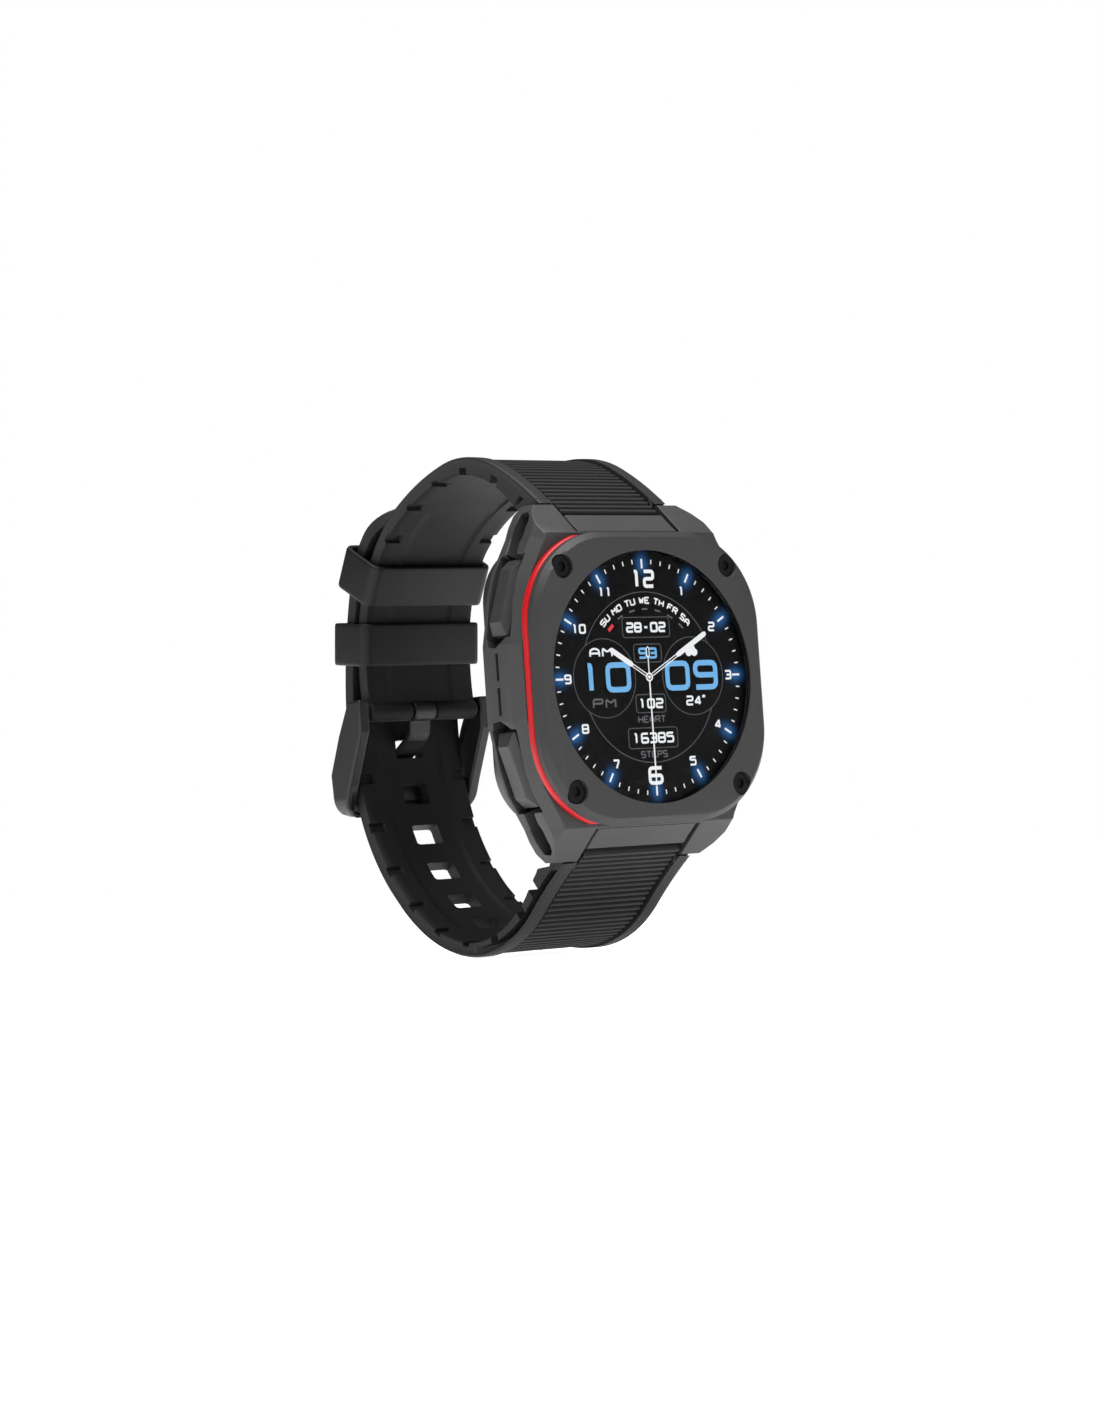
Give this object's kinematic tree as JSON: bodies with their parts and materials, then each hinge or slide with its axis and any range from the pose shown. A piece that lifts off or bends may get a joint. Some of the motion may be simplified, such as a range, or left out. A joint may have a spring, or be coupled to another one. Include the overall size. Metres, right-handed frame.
{
  "type": "smartwatch",
  "caption": "Rugged smartwatch with a round display in a square screwed bezel, side pushers and a buckled two-part rubber strap with keepers and a tang buckle.",
  "frame": {"origin": "middle of the wrist opening, midway across the strap", "axes": "-Y the way the display faces, +Z towards 12 o'clock, +X towards 3 o'clock and along the wrist"},
  "size_m": [0.0446, 0.067, 0.075],
  "materials": {
    "bezel_coat": "matt black coating",
    "black_screw": "blackened steel",
    "red_trim": "satin red",
    "cover_glass": "polished",
    "gasket": "matt",
    "display": "black panel",
    "case_plastic": "fine matt grain",
    "chassis_plastic": "matt",
    "circuit_board": "solder mask",
    "battery_wrap": "foil pouch",
    "bare_steel": "fine brushed",
    "component_black": "matt",
    "gold_contact": "gold plated",
    "sensor_glass": "dark polished",
    "cover_plastic": "satin",
    "pusher_metal": "satin gunmetal coating",
    "strap_rubber": "matt",
    "keeper_rubber": "matt",
    "buckle_coat": "satin black coating"
  },
  "bodies": {
    "watch": {"bezel_plate": "bezel_coat", "bezel_screws": "black_screw", "red_trim_ring": "red_trim", "cover_glass": "cover_glass", "glass_gasket": "gasket", "display_panel": "display", "mid_case": "case_plastic", "chassis": "chassis_plastic", "main_board": "circuit_board", "battery": "battery_wrap", "vibration_motor": "bare_steel", "speaker": "component_black", "microphone": "gold_contact", "antenna": "gold_contact", "sensor_board": "circuit_board", "sensor_window": "sensor_glass", "back_cover": "cover_plastic", "back_gasket": "gasket", "back_cover_screws": "bare_steel", "charging_contacts": "gold_contact", "pusher_seals": "gasket", "pusher_switches": "component_black", "lug_bar_upper": "bare_steel", "lug_bar_lower": "bare_steel", "strap_upper": "strap_rubber", "strap_lower": "strap_rubber", "buckle_bar": "black_screw"},
    "pusher_upper_left": {"pusher_upper_left": "pusher_metal"},
    "pusher_lower_left": {"pusher_lower_left": "pusher_metal"},
    "pusher_upper_right": {"pusher_upper_right": "pusher_metal"},
    "pusher_lower_right": {"pusher_lower_right": "pusher_metal"},
    "keeper_upper": {"keeper_upper": "keeper_rubber"},
    "keeper_lower": {"keeper_lower": "keeper_rubber"},
    "buckle_frame": {"buckle_frame": "buckle_coat"},
    "buckle_tongue": {"buckle_tongue": "buckle_coat"}
  },
  "joints": [
    {"name": "press_upper_left", "type": "slide", "parent": "watch", "child": "pusher_upper_left", "axis": [0.9478, 0, -0.319], "range_m": [0, 0.0006], "stiffness_N_per_m": 1500, "springref_m": -0.0004},
    {"name": "press_lower_left", "type": "slide", "parent": "watch", "child": "pusher_lower_left", "axis": [0.9478, 0, 0.319], "range_m": [0, 0.0006], "stiffness_N_per_m": 1500, "springref_m": -0.0004},
    {"name": "press_upper_right", "type": "slide", "parent": "watch", "child": "pusher_upper_right", "axis": [-0.9478, 0, -0.319], "range_m": [0, 0.0006], "stiffness_N_per_m": 1500, "springref_m": -0.0004},
    {"name": "press_lower_right", "type": "slide", "parent": "watch", "child": "pusher_lower_right", "axis": [-0.9478, 0, 0.319], "range_m": [0, 0.0006], "stiffness_N_per_m": 1500, "springref_m": -0.0004},
    {"name": "keeper_upper_slide", "type": "slide", "parent": "watch", "child": "keeper_upper", "axis": [0, 0.4775, -0.8786], "range_m": [-0.0015, 0.0015]},
    {"name": "keeper_lower_slide", "type": "slide", "parent": "watch", "child": "keeper_lower", "axis": [0, 0.1143, -0.9934], "range_m": [-0.0015, 0.0015]},
    {"name": "buckle_hinge", "type": "hinge", "parent": "watch", "child": "buckle_frame", "pos_m": [0, 0.0233, 0.00175], "axis": [1, 0, 0], "range_deg": [0, 4]},
    {"name": "tongue_hinge", "type": "hinge", "parent": "buckle_frame", "child": "buckle_tongue", "pos_m": [0, 0.0233, 0.00175], "axis": [1, 0, 0], "range_deg": [0, 2]}
  ]
}
